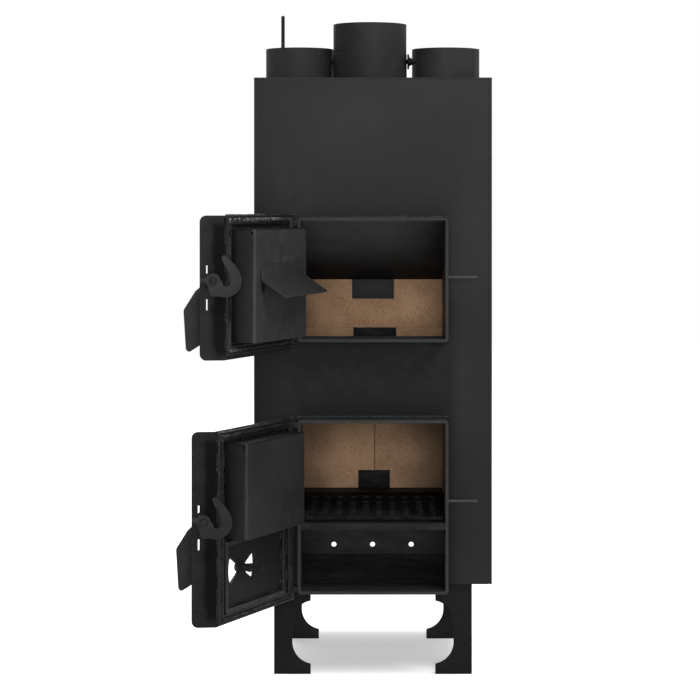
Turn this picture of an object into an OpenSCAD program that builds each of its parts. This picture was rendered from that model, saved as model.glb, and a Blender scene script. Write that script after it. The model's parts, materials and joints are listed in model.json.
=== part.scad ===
// Tall solid fuel air heating stove with a fire door above an ash door.
// Both doors hang on the left and stand open, and their lips carry hook latches.
// The origin is on the floor under the middle of the whole open stove, which faces -Y.

/* [Jacket] */
// Outside width of the jacket
body_w = 400; // [396:1:480]
// Depth of the jacket from the front panel to the back
body_d = 490; // [480:1:588]
// Height of the jacket
body_h = 852; // [840:1:1022]
// Thickness of the jacket sheets
jacket_t = 2; // [1.5:0.5:2.5]
// Thickness of the top plate
top_t = 3; // [2:0.5:5]
// Width of the folded front edges of the jacket
fold_w = 5; // [4:1:10]
// Height of the stove floor above the ground
ground_clear = 145; // [130:1:174]

/* [Inner Shell] */
// Plate thickness of the inner shell
shell_t = 4; // [3:0.5:5]
// How far the shell's sides stand outside the throats
shell_step = 34; // [30:1:38]
// Air space between front panel and shell
front_gap = 35; // [25:1:42]
// Air space between shell and back of the jacket
back_gap = 43; // [35:1:50]
// Height of the ash chamber under the grate
ash_h = 114; // [100:1:125]
// How much shorter the ash chamber is than the firebox
ash_step = 90; // [75:1:105]
// Height of the air space between shell and jacket top
plenum_h = 60; // [52:1:72]
// Diameter of the sight holes at the back of the ash chamber
ash_hole_d = 9; // [6:0.5:12]

/* [Throats] */
// Outside width of both door throats
throat_w = 250; // [230:1:300]
// Sheet thickness of the throats
throat_t = 5; // [4:0.5:6]
// How far the throats stand out of the front panel
throat_out = 55; // [45:1:66]
// Outside height of the fire door throat
upper_throat_h = 207; // [190:1:225]
// Height of the fire door throat above the ground
upper_throat_z = 563; // [550:1:580]
// Outside height of the ash door throat
lower_throat_h = 289; // [280:1:300]

/* [Lining] */
// Thickness of the lining boards
lining_t = 25; // [20:1:28]
// Height of the lower rear boards above the grate shelf
board_h = 299; // [280:1:305]
// Height of the upper rear board
board_top_h = 90; // [80:1:100]
// Rise of the baffle from back to front
baffle_rise = 110; // [90:1:125]
// Thickness of the baffle
baffle_t = 5; // [4:0.5:8]
// Length of the grate
grate_l = 282; // [260:1:300]
// Thickness of the grate
grate_t = 5; // [4:0.5:8]

/* [Doors] */
// Thickness of the door plates
door_t = 4; // [3:0.5:5]
// Opening angle of the fire door
upper_open = 111; // [0:1:120]
// Opening angle of the ash door
lower_open = 114; // [0:1:120]
// Width of the bent door lip
lip_w = 36; // [32:1:42]
// Bend of the door lip away from the stove
lip_angle = 60; // [55:1:65]
// Depth of the shield boxes behind the doors
box_depth = 41; // [30:1:50]
// How far the heat deflector of the fire door reaches out
deflector_out = 42; // [30:1:55]
// Diameter of the rosette disc
rosette_d = 110; // [102:1:112]
// Turn of the rosette disc away from fully open
rosette_turn = 8; // [0:1:80]

/* [Latches] */
// Height of the fire door latch above the ground
upper_latch_z = 675; // [665:1:685]
// Height of the ash door latch above the ground
lower_latch_z = 304.5; // [300:0.5:315]
// Diameter of the latch shafts
latch_d = 12; // [10:1:13]
// Thickness of the hooks and grips
hook_t = 6; // [4:0.5:7]
// Diameter of the catch pins
catch_d = 5; // [4:0.5:6]

/* [Top Fittings] */
// Outside diameter of the flue collar
flue_d = 130; // [110:1:140]
// Height of the flue collar above the jacket
flue_rise = 103.5; // [90:0.5:124]
// Outside diameter of the hot air collars
collar_d = 120; // [100:1:122]
// Height of the hot air collars
collar_rise = 62.5; // [45:0.5:75]
// Wall thickness of the collars
collar_t = 2; // [1.5:0.5:3]
// Distance of the flue behind the front panel
flue_y = 190; // [185:1:215]
// Distance of the hot air collars behind the front panel
collar_y = 229; // [215:1:240]
// Height of the damper spindle above the jacket
damper_rise = 38.5; // [30:0.5:39]
// Diameter of the valve rod
rod_d = 6.5; // [5:0.5:8]
// Height of the valve rod above the jacket
rod_rise = 130; // [100:1:160]

/* [Legs] */
// Width of a leg plate
leg_w = 61.8; // [55:0.2:65]
// Plate thickness of the legs
leg_t = 4; // [3:0.5:5]
// Depth of a leg's side plate
leg_d = 62; // [50:1:74]
// Radius of the round cut in the leg plates
leg_cut_r = 37; // [30:1:40]

/* [Hidden] */
$fn = 96;
cut = 1;
running_gap = 0.05;
seal_gap = 0.3;
seam_gap = 0.5;
swing_gap = 0.5;
open_left = 306;
open_front = 354.4;
origin_x = (open_left - body_w / 2) / 2;
origin_y = (open_front - body_d) / 2;
jacket_rise = 8;
jacket_z = ground_clear + jacket_rise;
jacket_top = jacket_z + body_h;
wrap_h = body_h - top_t;
shell_top = jacket_top - plenum_h;
shell_hw = throat_w / 2 + shell_step;
shell_in = shell_hw - shell_t;
shell_back = body_d - back_gap;
ash_back = shell_back - ash_step;
step_z = ground_clear + ash_h;
shelf_z = step_z + shell_t;
throat_hw = throat_w / 2 - throat_t;
throat_r = 6;
upper_throat_top = upper_throat_z + upper_throat_h;
lower_throat_top = ground_clear + lower_throat_h;
ash_hole_x = 71;
ash_hole_z = ground_clear + 22;
board_face = shell_back - shell_t - lining_t;
board_top = shelf_z + board_h;
baffle_z = board_top + board_top_h;
baffle_front = shell_t + front_gap + 46;
joint_x = 4.3;
joint_gap = 1;
clip_t = 3;
lip_drop = 11;
slot_cols = 10;
slot_rows = 4;
slot_w = 11;
slot_pitch = 23;
bar_w = 10;
grate_w = 236;
grate_y = -10;
rope_w = 8;
rope_h = 7;
bar_t = 3;
bar_h = 5.5;
bar_over = (rope_w - throat_t) / 2 + bar_t;
hinge_out = 11;
barrel_r = 6;
pin_r = 3;
knuckle_h = 8;
hinge_x = -throat_w / 2 - hinge_out;
hinge_y = -throat_out - seal_gap - rope_h - door_t / 2;
plate_x = 6.4;
plate_over = 6.5;
upper_under = 12;
bend_x = throat_w + hinge_out + plate_over;
door_mid = throat_w / 2 + hinge_out;
lip_r = 10;
latch_in = 18;
latch_x = lip_w - latch_in;
bush_r = 9;
bush_h = 22;
hook_n = 30;
grip_n = -17;
notch_u = 20;
notch_r = 6;
box_free_side = 19;
box_hinge_side = 27;
box_t = 2;
vent_d = 4;
deflector_t = 3;
frame_w = 8;
frame_h = rope_h - 0.5;
rosette_x = door_mid + 43;
rosette_z = ground_clear + 74;
sector_in = 10;
sector_out = 47;
sector_half = 32;
sector_lean = 4.5;
bolt_r = 3;
disc_t = 2;
flue_x = -5;
collar_x = body_w / 2 - collar_d / 2 - 10;
damper_z = jacket_top + damper_rise;
spindle_r = 4;
lever_x = flue_x + flue_d / 2 + 1;
lever_t = 3;
rod_x = -collar_x - 33;
rod_y = collar_y + 83;
valve_z = shell_top + 5;
valve_t = 3;
leg_x = shell_hw + leg_t + 3.8;
leg_y = 10;
rail_t = 4;
leg_h = ground_clear - rail_t;
foot_h = 17;
waist_w = 31;
rear_inset = 7;
rear_leg_y = ash_back - 36;
rail_d = 40;
catch_y = hinge_y - latch_x * sin(lip_angle) + hook_n * cos(lip_angle) + notch_u * sin(lip_angle);
catch_l = 48;

// Moves a shape given from the middle of the front panel to the origin of the open stove
module from_front() {
  translate([origin_x, origin_y, 0]) children();
}

// Stands a flat outline upright, facing front and back
module upright(t) {
  rotate([90, 0, 0]) linear_extrude(height = t, center = true) children();
}

// Stands an outline of depth and height upright, facing the sides
module sideways(w) {
  rotate([90, 0, 90]) linear_extrude(height = w, center = true) children();
}

// Round rod lying across the stove
module crosswise(l, r) {
  rotate([0, 90, 0]) cylinder(h = l, r = r);
}

// Round rod pointing to the back
module backwards(l, r) {
  rotate([-90, 0, 0]) cylinder(h = l, r = r);
}

// Outline with round corners, standing on its middle
module round_outline(w, h, r) {
  translate([-w / 2, r]) square([w, h - 2 * r]);
  translate([-w / 2 + r, 0]) square([w - 2 * r, h]);
  for (x = [-w / 2 + r, w / 2 - r]) {
    for (z = [r, h - r]) translate([x, z]) circle(r = r);
  }
}

// Outer form of a throat from one depth to another
module throat_form(z, h, y0, y1) {
  translate([0, (y0 + y1) / 2, z]) upright(y1 - y0) round_outline(throat_w, h, throat_r);
}

// Clear inside of a throat
module throat_clear(z, h, y0, y1) {
  translate([-throat_hw, y0, z + throat_t]) cube([2 * throat_hw, y1 - y0, h - 2 * throat_t]);
}

module jacket_wrap() {
  inner_w = body_w - 2 * jacket_t;
  color("#353535") from_front() translate([0, 0, jacket_z]) difference() {
    translate([-body_w / 2, 0, 0]) cube([body_w, body_d, wrap_h]);
    translate([-inner_w / 2, jacket_t, -cut])
      cube([inner_w, body_d - 2 * jacket_t, wrap_h + 2 * cut]);
    translate([-body_w / 2 + fold_w, -cut, -cut])
      cube([body_w - 2 * fold_w, jacket_t + 2 * cut, wrap_h + 2 * cut]);
  }
}

module front_panel() {
  panel_w = body_w - 2 * fold_w - 2 * seam_gap;
  color("#353535") from_front() difference() {
    translate([-panel_w / 2, 0, jacket_z]) cube([panel_w, jacket_t, wrap_h]);
    throat_form(ground_clear, lower_throat_h, -cut, jacket_t + cut);
    throat_form(upper_throat_z, upper_throat_h, -cut, jacket_t + cut);
  }
}

module top_plate() {
  color("#353535") from_front() difference() {
    translate([-body_w / 2, 0, jacket_top - top_t]) cube([body_w, body_d, top_t]);
    translate([flue_x, flue_y, jacket_top - top_t - cut]) cylinder(h = top_t + 2 * cut, r = flue_d / 2);
    for (x = [-collar_x, collar_x]) {
      translate([x, collar_y, jacket_top - top_t - cut])
        cylinder(h = top_t + 2 * cut, r = collar_d / 2 - collar_t);
    }
    translate([rod_x, rod_y, jacket_top - top_t - cut]) cylinder(h = top_t + 2 * cut, r = rod_d / 2 + 1);
  }
}

module inner_shell() {
  f = front_gap;
  t = shell_t;
  color("#2e2c2a") from_front() difference() {
    sideways(2 * shell_hw) polygon([
      [f, ground_clear], [ash_back, ground_clear], [ash_back, step_z],
      [shell_back, step_z], [shell_back, shell_top], [f, shell_top]
    ]);
    sideways(2 * shell_in) polygon([
      [f + t, ground_clear + t], [ash_back - t, ground_clear + t], [ash_back - t, shelf_z],
      [shell_back - t, shelf_z], [shell_back - t, shell_top - t], [f + t, shell_top - t]
    ]);
    throat_clear(ground_clear, lower_throat_h, f - cut, f + t + cut);
    throat_clear(upper_throat_z, upper_throat_h, f - cut, f + t + cut);
    translate([flue_x, flue_y, shell_top - t - cut]) cylinder(h = t + 2 * cut, r = flue_d / 2 - collar_t);
    for (x = [-ash_hole_x, 0, ash_hole_x]) {
      translate([x, ash_back - t - cut, ash_hole_z]) backwards(t + 2 * cut, ash_hole_d / 2);
    }
  }
}

module throat(z, h) {
  color("#3a3a3a") from_front() difference() {
    throat_form(z, h, -throat_out, front_gap);
    throat_clear(z, h, -throat_out - cut, front_gap + cut);
  }
}

module upper_throat() {
  throat(upper_throat_z, upper_throat_h);
}

module lower_throat() {
  throat(ground_clear, lower_throat_h);
}

module ash_shelf() {
  inside = front_gap + shell_t;
  hole_w = grate_w - 2 * bar_w;
  color("#3a3a3a") from_front() difference() {
    union() {
      translate([-throat_hw, -throat_out, step_z]) cube([2 * throat_hw, throat_out + inside, shell_t]);
      translate([-shell_in, inside, step_z]) cube([2 * shell_in, ash_back - shell_t - inside, shell_t]);
      translate([-throat_hw, -throat_out, shelf_z - lip_drop]) cube([2 * throat_hw, shell_t, lip_drop]);
    }
    translate([-hole_w / 2, grate_y + bar_w, step_z - cut])
      cube([hole_w, grate_l - 2 * bar_w, shell_t + 2 * cut]);
  }
}

module grate() {
  slot_l = (grate_l - bar_w * (slot_rows + 1)) / slot_rows;
  color("#282624") from_front() translate([0, grate_y, shelf_z]) difference() {
    translate([-grate_w / 2, 0, 0]) cube([grate_w, grate_l, grate_t]);
    for (i = [0 : slot_cols - 1]) {
      for (j = [0 : slot_rows - 1]) {
        translate([(i - (slot_cols - 1) / 2) * slot_pitch - slot_w / 2, bar_w + j * (slot_l + bar_w), -cut])
          cube([slot_w, slot_l, grate_t + 2 * cut]);
      }
    }
  }
}

module baffle() {
  z0 = baffle_z;
  z1 = baffle_z + baffle_rise;
  tail = board_face + lining_t / 2;
  color("#2a2826") from_front() sideways(2 * shell_in - 2 * joint_gap) polygon([
    [tail, z0], [board_face, z0], [baffle_front, z1],
    [baffle_front, z1 + baffle_t], [board_face, z0 + baffle_t], [tail, z0 + baffle_t]
  ]);
}

// Side board whose upper edge follows the baffle, on the right where side is 1
module side_board(side) {
  y0 = front_gap + shell_t;
  z1 = baffle_z + baffle_rise;
  board_x = side * (shell_in - lining_t / 2);
  color("#8a6a4e") from_front() translate([board_x, 0, 0]) sideways(lining_t) polygon([
    [y0, shelf_z], [board_face, shelf_z], [board_face, baffle_z], [baffle_front, z1], [y0, z1]
  ]);
}

module left_side_board() {
  side_board(-1);
}

module right_side_board() {
  side_board(1);
}

module left_rear_board() {
  color("#8a6a4e") from_front() translate([-shell_in, board_face, shelf_z])
    cube([shell_in + joint_x - joint_gap / 2, lining_t, board_h]);
}

module right_rear_board() {
  color("#8a6a4e") from_front() translate([joint_x + joint_gap / 2, board_face, shelf_z])
    cube([shell_in - joint_x - joint_gap / 2, lining_t, board_h]);
}

module top_rear_board() {
  color("#8a6a4e") from_front() translate([-shell_in, board_face, board_top])
    cube([2 * shell_in, lining_t, board_top_h]);
}

module baffle_clip() {
  clip_w = 78;
  clip_h = 36;
  color("#565656") from_front() translate([1 - clip_w / 2, board_face - clip_t, baffle_z - clip_h])
    cube([clip_w, clip_t, clip_h]);
}

module board_clip() {
  clip_w = 80;
  clip_h = 22;
  color("#303434") from_front() translate([joint_x - clip_w / 2, board_face - clip_t, board_top - clip_h])
    cube([clip_w, clip_t, clip_h]);
}

module rear_foot_plate() {
  foot_w = 59;
  foot_up = 33;
  color("#202020") from_front() translate([3 - foot_w / 2, board_face - clip_t, shelf_z])
    cube([foot_w, clip_t, foot_up]);
}

module flue_collar() {
  pipe_h = plenum_h + flue_rise;
  spigot_z = damper_z + 12.5;
  spigot_step = 0.6;
  color("#353535") from_front() translate([flue_x, flue_y, 0]) difference() {
    union() {
      translate([0, 0, shell_top]) cylinder(h = spigot_z - shell_top, r = flue_d / 2);
      translate([0, 0, shell_top]) cylinder(h = pipe_h, r = flue_d / 2 - spigot_step);
    }
    translate([0, 0, shell_top - cut]) cylinder(h = pipe_h + 2 * cut, r = flue_d / 2 - collar_t);
    translate([-flue_d, 0, damper_z]) crosswise(2 * flue_d, spindle_r + running_gap);
  }
}

module air_collar(x) {
  color("#353535") from_front() translate([x, collar_y, jacket_top]) difference() {
    cylinder(h = collar_rise, r = collar_d / 2);
    translate([0, 0, -cut]) cylinder(h = collar_rise + 2 * cut, r = collar_d / 2 - collar_t);
  }
}

module left_air_collar() {
  air_collar(-collar_x);
}

module right_air_collar() {
  air_collar(collar_x);
}

module rod_guide() {
  guide_r = 7;
  guide_h = 12;
  color("#404040") from_front() translate([rod_x, rod_y, jacket_top]) difference() {
    cylinder(h = guide_h, r = guide_r);
    translate([0, 0, -cut]) cylinder(h = guide_h + 2 * cut, r = rod_d / 2 + running_gap);
  }
}

module valve_rod() {
  rod_h = jacket_top + rod_rise - valve_z;
  color("#4a4a4a") from_front() translate([rod_x, rod_y, valve_z]) {
    cylinder(h = rod_h - rod_d / 2, r = rod_d / 2);
    translate([0, 0, rod_h - rod_d / 2]) sphere(r = rod_d / 2);
  }
}

module valve_plate() {
  plate_r = collar_d / 2 - 4;
  arm_w = 20;
  arm_end_r = 12;
  arm_dx = rod_x + collar_x;
  arm_dy = rod_y - collar_y;
  arm_l = sqrt(arm_dx * arm_dx + arm_dy * arm_dy);
  color("#454545") from_front() translate([-collar_x, collar_y, valve_z]) difference() {
    union() {
      cylinder(h = valve_t, r = plate_r);
      rotate([0, 0, atan2(arm_dy, arm_dx)]) translate([0, -arm_w / 2, 0]) cube([arm_l, arm_w, valve_t]);
      translate([arm_dx, arm_dy, 0]) cylinder(h = valve_t, r = arm_end_r);
    }
    translate([arm_dx, arm_dy, -cut]) cylinder(h = valve_t + 2 * cut, r = rod_d / 2);
  }
}

module damper_disc() {
  disc_r = flue_d / 2 - collar_t - 2;
  sheet = 2;
  color("#3c3c3c") from_front() translate([flue_x, flue_y, damper_z]) difference() {
    translate([0, -sheet / 2, 0]) backwards(sheet, disc_r);
    translate([-flue_d, 0, 0]) crosswise(2 * flue_d, spindle_r);
  }
}

module damper_spindle() {
  x0 = flue_x - flue_d / 2 - 4;
  x1 = lever_x + lever_t + 11;
  color("#6a6a6a") from_front() translate([x0, flue_y, damper_z]) crosswise(x1 - x0, spindle_r);
}

module damper_lever() {
  lever_r = 13.5;
  lever_l = 36;
  tip_r = 9;
  color("#4c4c4c") from_front() translate([lever_x + lever_t / 2, flue_y, damper_z]) sideways(lever_t)
    difference() {
      union() {
        circle(r = lever_r);
        polygon([[0, -lever_r], [0, lever_r], [tip_r - lever_l, tip_r], [tip_r - lever_l, -tip_r]]);
        translate([tip_r - lever_l, 0]) circle(r = tip_r);
      }
      circle(r = spindle_r);
    }
}

module damper_nut() {
  nut_h = 6.5;
  wide_r = 8;
  narrow_r = 5.2;
  color("#707070") from_front() translate([lever_x + lever_t, flue_y, damper_z]) rotate([0, 90, 0])
    difference() {
      cylinder(h = nut_h, r1 = wide_r, r2 = narrow_r);
      translate([0, 0, -cut]) cylinder(h = nut_h + 2 * cut, r = spindle_r);
    }
}

// Front face of a leg, outer edge at zero, with its round cut towards the middle
module leg_face(tab_w, tab_top) {
  cut_x = waist_w + leg_cut_r;
  cut_top = leg_h - foot_h - leg_cut_r;
  difference() {
    union() {
      square([leg_w, leg_h]);
      square([tab_w, tab_top]);
    }
    translate([cut_x, foot_h + leg_cut_r]) circle(r = leg_cut_r);
    translate([cut_x, cut_top]) circle(r = leg_cut_r);
    translate([waist_w, foot_h + leg_cut_r]) square([2 * leg_cut_r, cut_top - foot_h - leg_cut_r]);
    translate([cut_x, foot_h]) square([leg_w, leg_h - 2 * foot_h]);
  }
}

// Leg with its face to the front and its side plate running back, on the left where side is 1
module leg(side, x, y, tab_w, tab_top) {
  color("#353535") from_front() mirror([side > 0 ? 0 : 1, 0, 0]) translate([-x, y, 0]) {
    translate([0, leg_t / 2, 0]) upright(leg_t) leg_face(tab_w, tab_top);
    translate([0, leg_t, 0]) cube([leg_t, leg_d - leg_t, tab_top]);
  }
}

module front_leg(side) {
  tab_up = 29;
  leg(side, leg_x, leg_y, leg_x - throat_w / 2 - seam_gap, leg_h + tab_up);
}

module rear_leg(side) {
  leg(side, leg_x - rear_inset, rear_leg_y, leg_w, leg_h);
}

module front_left_leg() {
  front_leg(1);
}

module front_right_leg() {
  front_leg(-1);
}

module rear_left_leg() {
  rear_leg(1);
}

module rear_right_leg() {
  rear_leg(-1);
}

module front_rail() {
  rail_w = 2 * (leg_x - leg_t);
  color("#353535") from_front() translate([-rail_w / 2, leg_y + leg_t, leg_h])
    cube([rail_w, rail_d, rail_t]);
}

module rear_rail() {
  rail_w = 2 * (leg_x - rear_inset);
  color("#353535") from_front() translate([-rail_w / 2, rear_leg_y, leg_h]) cube([rail_w, rail_d, rail_t]);
}

module catch_pins() {
  color("#5a5a5a") from_front() {
    translate([throat_w / 2, catch_y, upper_latch_z - 4]) crosswise(catch_l, catch_d / 2);
    translate([throat_w / 2, catch_y, lower_latch_z - 5]) crosswise(catch_l, catch_d / 2);
  }
}

// Places the two hinge levels of a door, the lower one upside down
module hinge_levels(z, h) {
  translate([0, 0, z + h + plate_over - 19]) children();
  translate([0, 0, z - plate_over + 19]) mirror([0, 0, 1]) children();
}

// Fixed knuckle with the strap that is welded to the side of the throat
module hinge_lug() {
  strap_x = 0.9;
  strap_w = 5;
  strap_y = rope_h + door_t / 2 + 2 * seal_gap;
  strap_l = 20;
  difference() {
    union() {
      cylinder(h = knuckle_h, r = barrel_r);
      translate([strap_x, 0, 0]) cube([strap_w, strap_y + cut, knuckle_h]);
      translate([strap_x, strap_y, 0]) cube([hinge_out - strap_x, strap_l, knuckle_h]);
    }
    translate([0, 0, -cut]) cylinder(h = knuckle_h + 2 * cut, r = pin_r);
  }
}

module hinge_lugs() {
  color("#3a3a3a") from_front() translate([hinge_x, hinge_y, 0]) {
    hinge_levels(upper_throat_z, upper_throat_h) hinge_lug();
    hinge_levels(ground_clear, lower_throat_h) hinge_lug();
  }
}

// Hinge pin with a flat head above the knuckle of the door
module hinge_pin() {
  head_z = 2 * knuckle_h + 2 * swing_gap;
  head_h = 1.5;
  head_r = 4.8;
  cylinder(h = head_z + head_h, r = pin_r);
  translate([0, 0, head_z]) cylinder(h = head_h, r = head_r);
}

module hinge_pins() {
  color("#6a6a6a") from_front() translate([hinge_x, hinge_y, 0]) {
    hinge_levels(upper_throat_z, upper_throat_h) hinge_pin();
    hinge_levels(ground_clear, lower_throat_h) hinge_pin();
  }
}

// Moves a closed door from its hinge axis to its open place
module swung(angle) {
  from_front() translate([hinge_x, hinge_y, 0]) rotate([0, 0, -angle]) children();
}

// Frame of the bent lip, X to its free edge and Y to the inner side
module on_lip() {
  translate([bend_x, 0, 0]) rotate([0, 0, -lip_angle]) children();
}

// Frame of a latch, its shaft along Y
module on_latch(z) {
  on_lip() translate([latch_x, 0, z]) children();
}

// Flat door with its bent lip and the round and long holes in the lip
module door_sheet(z, h, over_top, over_bottom, latch_z) {
  z0 = z - over_bottom;
  full_h = h + over_top + over_bottom;
  slot_x = lip_w - 11;
  slot_hw = 1.2;
  slot_l = 17;
  half_t = door_t / 2;
  translate([plate_x, -half_t, z0]) cube([bend_x - plate_x, door_t, full_h]);
  translate([bend_x, 0, z0]) linear_extrude(full_h) polygon([
    [-half_t, 0],
    [-half_t, half_t],
    [half_t * tan(lip_angle / 2), half_t],
    [half_t * (tan(lip_angle / 2) + cos(lip_angle)), half_t * (1 - sin(lip_angle))],
    [half_t * cos(lip_angle), -half_t * sin(lip_angle)]
  ]);
  difference() {
    on_lip() translate([0, 0, z0]) upright(door_t) {
      square([lip_w - lip_r, full_h]);
      translate([0, lip_r]) square([lip_w, full_h - 2 * lip_r]);
      translate([lip_w - lip_r, lip_r]) circle(r = lip_r);
      translate([lip_w - lip_r, full_h - lip_r]) circle(r = lip_r);
    }
    on_latch(latch_z) translate([0, -door_t, 0]) backwards(2 * door_t, latch_d / 2 + running_gap);
    for (dz = [14, -38]) {
      on_lip() translate([slot_x, 0, latch_z + dz]) upright(2 * door_t) {
        square([2 * slot_hw, slot_l], center = true);
      }
    }
  }
}

// Rectangular ring on the inner face of a door
module door_ring(w, h, zc, t, d) {
  translate([door_mid - w / 2, door_t / 2, zc - h / 2]) difference() {
    cube([w, d, h]);
    translate([t, -cut, t]) cube([w - 2 * t, d + 2 * cut, h - 2 * t]);
  }
}

module gasket_rope(z, h) {
  over = rope_w - throat_t;
  door_ring(throat_w + over, h + over, z + h / 2, rope_w, rope_h);
}

module gasket_frame(z, h) {
  over = rope_w - throat_t;
  inner = over - 2 * rope_w;
  door_ring(throat_w + over + 2 * bar_t, h + over + 2 * bar_t, z + h / 2, bar_t, bar_h);
  door_ring(throat_w + inner, h + inner, z + h / 2, bar_t, bar_h);
}

// Hollow sheet box behind a door, open towards the door, with a vent hole
module shield_box(z0, z1) {
  w = throat_w - box_free_side - box_hinge_side;
  h = z1 - z0;
  inner_w = w - 2 * box_t;
  translate([hinge_out + box_hinge_side, door_t / 2, z0]) difference() {
    cube([w, box_depth, h]);
    translate([box_t, -cut, box_t]) cube([inner_w, box_depth - box_t + cut, h - 2 * box_t]);
    translate([w - 2 * box_t, box_depth - 6, h - 6]) crosswise(3 * box_t, vent_d / 2);
  }
}

// Knuckles that are welded to the hinge edge of a door
module door_knuckle() {
  difference() {
    union() {
      cylinder(h = knuckle_h, r = barrel_r);
      translate([0, -door_t / 2, 0]) cube([plate_x, door_t, knuckle_h]);
    }
    translate([0, 0, -cut]) cylinder(h = knuckle_h + 2 * cut, r = pin_r + running_gap);
  }
}

module door_knuckles(z, h) {
  hinge_levels(z, h) translate([0, 0, knuckle_h + swing_gap]) door_knuckle();
}

// Bearing bush on the lip with a half round rib to the free edge
module latch_bush(latch_z) {
  rib_r = 4.5;
  on_latch(latch_z) difference() {
    union() {
      translate([0, door_t / 2, 0]) backwards(bush_h, bush_r);
      intersection() {
        translate([0, door_t / 2, 0]) crosswise(latch_in, rib_r);
        translate([0, door_t / 2, -rib_r]) cube([latch_in, rib_r, 2 * rib_r]);
      }
    }
    translate([0, -cut, 0]) backwards(bush_h + door_t + 2 * cut, latch_d / 2 + running_gap);
  }
}

// Shaft through the lip, with a low domed end on the inner side
module latch_shaft(latch_z) {
  dome_r = 10;
  dome_n = 38;
  end_n = grip_n - hook_t / 2;
  on_latch(latch_z) intersection() {
    translate([0, end_n, 0]) backwards(dome_n - end_n + cut, latch_d / 2);
    union() {
      translate([0, dome_n - dome_r, 0]) sphere(r = dome_r);
      translate([0, end_n - cut, 0]) backwards(dome_n - dome_r - end_n + cut, 2 * dome_r);
    }
  }
}

// Crescent hook round the shaft, U towards the hinge and V up
module hook_outline() {
  mirror([1, 0]) difference() {
    union() {
      circle(r = 11);
      intersection() {
        translate([18, 0]) circle(r = 25.5);
        translate([-8, -26]) square([52, 26]);
      }
      polygon([[-6.9, -13], [-4, -23], [4, -24.6], [12, -22], [8, -6], [-7, -5]]);
      polygon([
        [25, -1], [43.5, -1], [42.8, 6], [39.8, 13.5], [36.4, 19.6], [31.8, 25.6],
        [20, 37.6], [13.4, 32.9], [16.5, 25], [22.6, 15.5], [25.4, 7]
      ]);
      translate([17, 35]) circle(r = 4);
    }
    translate([notch_u, -3]) circle(r = notch_r);
    translate([notch_u - notch_r, -3]) square([2 * notch_r, 9]);
    circle(r = latch_d / 2);
  }
}

module latch_hook(latch_z) {
  on_latch(latch_z) translate([0, hook_n, 0]) upright(hook_t) hook_outline();
}

module latch_grip(latch_z) {
  on_latch(latch_z) translate([0, grip_n, 0]) upright(hook_t) difference() {
    union() {
      circle(r = 11);
      polygon([
        [-6, -9], [9, -5], [23.5, -18], [41, -46], [41.4, -50], [38, -107], [35.5, -110.6],
        [32, -111], [20.5, -104], [12, -98], [11, -30], [4, -19]
      ]);
    }
    circle(r = latch_d / 2);
  }
}

// Two facing sector openings of the air rosette, one on each side of the bolt
module rosette_cuts(t) {
  for (a = [sector_lean - sector_half, 180 + sector_lean - sector_half]) {
    rotate([0, -a, 0]) rotate([90, 0, 0]) translate([0, 0, -t / 2])
      rotate_extrude(angle = 2 * sector_half) translate([sector_in, 0]) square([sector_out - sector_in, t]);
  }
}

module upper_door_sheet() {
  color("#383838") swung(upper_open)
    door_sheet(upper_throat_z, upper_throat_h, bar_over, upper_under, upper_latch_z);
}

module upper_gasket_frame() {
  color("#5c5c5c") swung(upper_open) gasket_frame(upper_throat_z, upper_throat_h);
}

module upper_gasket_rope() {
  color("#6a6862") swung(upper_open) gasket_rope(upper_throat_z, upper_throat_h);
}

module upper_shield_box() {
  color("#404040") swung(upper_open) shield_box(upper_throat_z + 14, upper_throat_top - 17);
}

// Sloping heat deflector welded to the box of the fire door
module upper_deflector() {
  flange_z = upper_throat_z + 114;
  flange_h = 21;
  drop = 26;
  tilt = 1.2;
  deflector_w = 172;
  y0 = door_t / 2 + box_depth;
  t = deflector_t;
  color("#4a4a4a") swung(upper_open) translate([door_mid, 0, flange_z]) rotate([0, tilt, 0])
    sideways(deflector_w) polygon([
    [y0, flange_h], [y0, -t], [y0 + deflector_out, -drop - t],
    [y0 + deflector_out, -drop], [y0 + t, 0], [y0 + t, flange_h]
  ]);
}

module upper_door_knuckles() {
  color("#3a3a3a") swung(upper_open) door_knuckles(upper_throat_z, upper_throat_h);
}

module upper_latch_bush() {
  color("#444444") swung(upper_open) latch_bush(upper_latch_z);
}

module upper_latch_shaft() {
  color("#606060") swung(upper_open) latch_shaft(upper_latch_z);
}

module upper_latch_hook() {
  color("#585858") swung(upper_open) latch_hook(upper_latch_z);
}

module upper_latch_grip() {
  color("#484848") swung(upper_open) latch_grip(upper_latch_z);
}

module lower_door_sheet() {
  color("#383838") swung(lower_open) difference() {
    door_sheet(ground_clear, lower_throat_h, plate_over, plate_over, lower_latch_z);
    translate([rosette_x, 0, rosette_z]) rosette_cuts(2 * door_t);
    translate([rosette_x, -door_t, rosette_z]) backwards(2 * door_t, bolt_r);
  }
}

module lower_gasket_frame() {
  color("#5c5c5c") swung(lower_open) gasket_frame(ground_clear, lower_throat_h);
}

module lower_gasket_rope() {
  color("#6a6862") swung(lower_open) gasket_rope(ground_clear, lower_throat_h);
}

module lower_shield_box() {
  color("#404040") swung(lower_open) shield_box(shelf_z + 9, lower_throat_top - 13.5);
}

// Flat bar frame round the rosette
module lower_window_frame() {
  z0 = ground_clear + 10;
  z1 = shelf_z + 5;
  frame_l = 211;
  color("#505050") swung(lower_open) translate([4.5, 0, 0])
    door_ring(frame_l, z1 - z0, (z0 + z1) / 2, frame_w, frame_h);
}

module lower_door_knuckles() {
  color("#3a3a3a") swung(lower_open) door_knuckles(ground_clear, lower_throat_h);
}

module lower_latch_bush() {
  color("#444444") swung(lower_open) latch_bush(lower_latch_z);
}

module lower_latch_shaft() {
  color("#606060") swung(lower_open) latch_shaft(lower_latch_z);
}

module lower_latch_hook() {
  color("#585858") swung(lower_open) latch_hook(lower_latch_z);
}

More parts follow.
